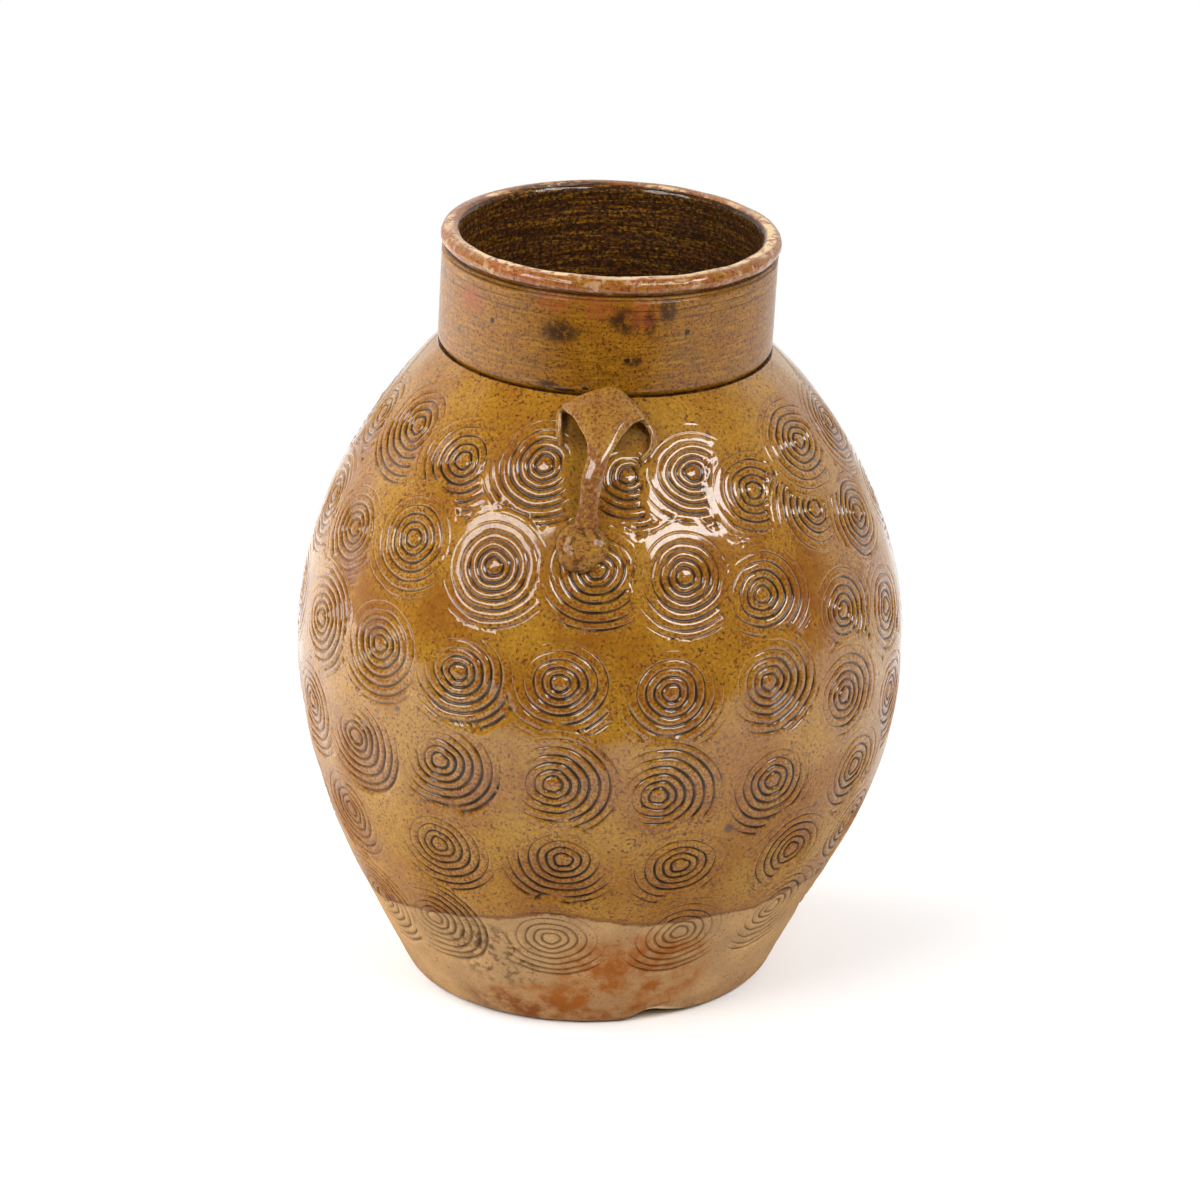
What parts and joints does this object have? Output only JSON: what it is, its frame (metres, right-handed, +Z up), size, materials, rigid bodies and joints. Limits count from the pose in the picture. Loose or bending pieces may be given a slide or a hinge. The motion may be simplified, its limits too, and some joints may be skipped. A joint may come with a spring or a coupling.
{
  "type": "stoneware storage jar",
  "caption": "Ovoid stoneware storage jar with a broad upright neck, rolled rim and a strap lug on the shoulder, for keeping dry food, pickles or liquids.",
  "frame": {"origin": "on the ground, under the centre of the belly", "axes": "+Z up along the jar, -Y to the front where the lug is, +X to the right"},
  "size_m": [0.2358, 0.2357, 0.3022],
  "materials": {
    "bare_clay": "unglazed, dry",
    "body_glaze": "glossy",
    "neck_glaze": "glossy",
    "rim_glaze": "glossy",
    "lug_glaze": "glossy"
  },
  "bodies": {
    "root": {"floor_disc": "bare_clay", "lower_wall": "body_glaze", "upper_wall": "body_glaze", "neck_collar": "neck_glaze", "rim_roll": "rim_glaze", "lug_strap": "lug_glaze", "lug_pellet": "lug_glaze"}
  },
  "joints": []
}
